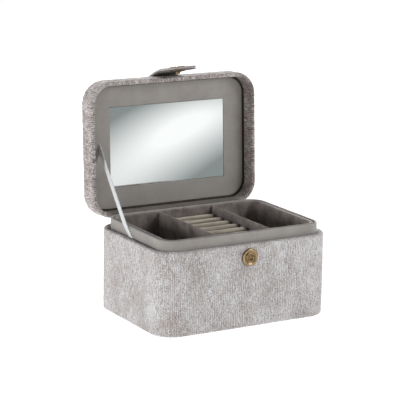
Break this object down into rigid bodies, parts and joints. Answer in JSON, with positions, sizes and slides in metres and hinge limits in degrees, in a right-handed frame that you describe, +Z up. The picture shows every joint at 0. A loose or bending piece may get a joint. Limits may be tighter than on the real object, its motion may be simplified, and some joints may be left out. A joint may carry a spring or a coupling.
{
  "type": "jewellery box",
  "caption": "Fabric-covered jewellery box with a mirrored hinged lid, a ribbon stay, a snap strap and a velvet lift-out tray with bins and soft ring rolls",
  "frame": {"origin": "centre of the base's underside", "axes": "+Z up, -Y the front with the snap, +X to the right seen from the front"},
  "size_m": [0.175, 0.1688, 0.2171],
  "materials": {
    "chenille": "ribbed chenille, light warm grey with mauve mottling",
    "velvet": "short-pile velvet, greenish grey",
    "roll_velvet": "short-pile velvet over soft filling, warm grey",
    "satin_ribbon": "satin ribbon, pale grey",
    "underside_cloth": "flat felt",
    "board": "fibreboard, hidden",
    "brass": "antique brass, satin",
    "mirror": "silvered glass"
  },
  "bodies": {
    "base": {"base_cover_fabric": "chenille", "base_underside_cloth": "underside_cloth", "base_floor_board": "board", "base_wall_board": "board", "inner_collar": "velvet", "lower_bin_lining": "velvet", "lower_bin_pad": "velvet", "snap_socket": "brass", "snap_socket_washer": "brass", "hinge_base_leaf_left": "brass", "hinge_base_leaf_right": "brass", "hinge_pin_left": "brass", "hinge_pin_right": "brass", "hinge_base_screw_1": "brass", "hinge_base_screw_2": "brass", "hinge_base_screw_3": "brass", "hinge_base_screw_4": "brass", "stay_ribbon": "satin_ribbon"},
    "lid": {"lid_cover_fabric": "chenille", "lid_wall_board": "board", "lid_top_board": "board", "mirror_panel": "velvet", "mirror_glass": "mirror", "hinge_lid_leaf_left": "brass", "hinge_lid_leaf_right": "brass", "hinge_lid_screw_1": "brass", "hinge_lid_screw_2": "brass", "hinge_lid_screw_3": "brass", "hinge_lid_screw_4": "brass", "strap_anchor_cover": "chenille", "strap_anchor_lining": "velvet"},
    "strap_root": {"strap_root_cover": "chenille", "strap_root_lining": "velvet"},
    "strap_tongue": {"strap_tongue_cover": "chenille", "strap_tongue_lining": "velvet"},
    "strap_tip": {"strap_tip_cover": "chenille", "strap_tip_lining": "velvet", "snap_cap": "brass", "snap_stud": "brass"},
    "tray": {"tray_floor": "velvet", "tray_wall": "velvet", "tray_divider_left": "velvet", "tray_divider_right": "velvet", "tray_pad_left": "velvet", "tray_pad_right": "velvet"},
    "ring_rack": {"ring_rack_base": "velvet", "ring_roll_1": "roll_velvet", "ring_roll_2": "roll_velvet", "ring_roll_3": "roll_velvet", "ring_roll_4": "roll_velvet", "ring_roll_5": "roll_velvet", "ring_roll_6": "roll_velvet", "ring_roll_7": "roll_velvet"}
  },
  "joints": [
    {"name": "lid_hinge", "type": "hinge", "parent": "base", "child": "lid", "pos_m": [0, 0.066, 0.0758], "axis": [-1, 0, 0], "range_deg": [-93.1, 0], "deforming": ["stay_ribbon"]},
    {"name": "strap_swing", "type": "hinge", "parent": "lid", "child": "strap_tongue", "pos_m": [0, 0.07705, 0.16553], "axis": [-1, 0, 0], "range_deg": [-9.2, 0]},
    {"name": "strap_root_turn", "type": "hinge", "parent": "lid", "child": "strap_root", "pos_m": [0, 0.09593, 0.19196], "axis": [-1, 0, 0], "range_deg": [-59.1, 0]},
    {"name": "strap_tip_flex", "type": "hinge", "parent": "strap_tongue", "child": "strap_tip", "pos_m": [0, 0.08145, 0.21002], "axis": [-1, 0, 0], "range_deg": [0, 40]},
    {"name": "tray_lift", "type": "slide", "parent": "base", "child": "tray", "axis": [0, 0, 1], "range_m": [0, 0.06]},
    {"name": "ring_rack_lift", "type": "slide", "parent": "tray", "child": "ring_rack", "axis": [0, 0, 1], "range_m": [0, 0.035]}
  ],
  "couplings": [
    {"joint": "strap_root_turn", "follows": "strap_swing", "ratio": 6.413}
  ]
}
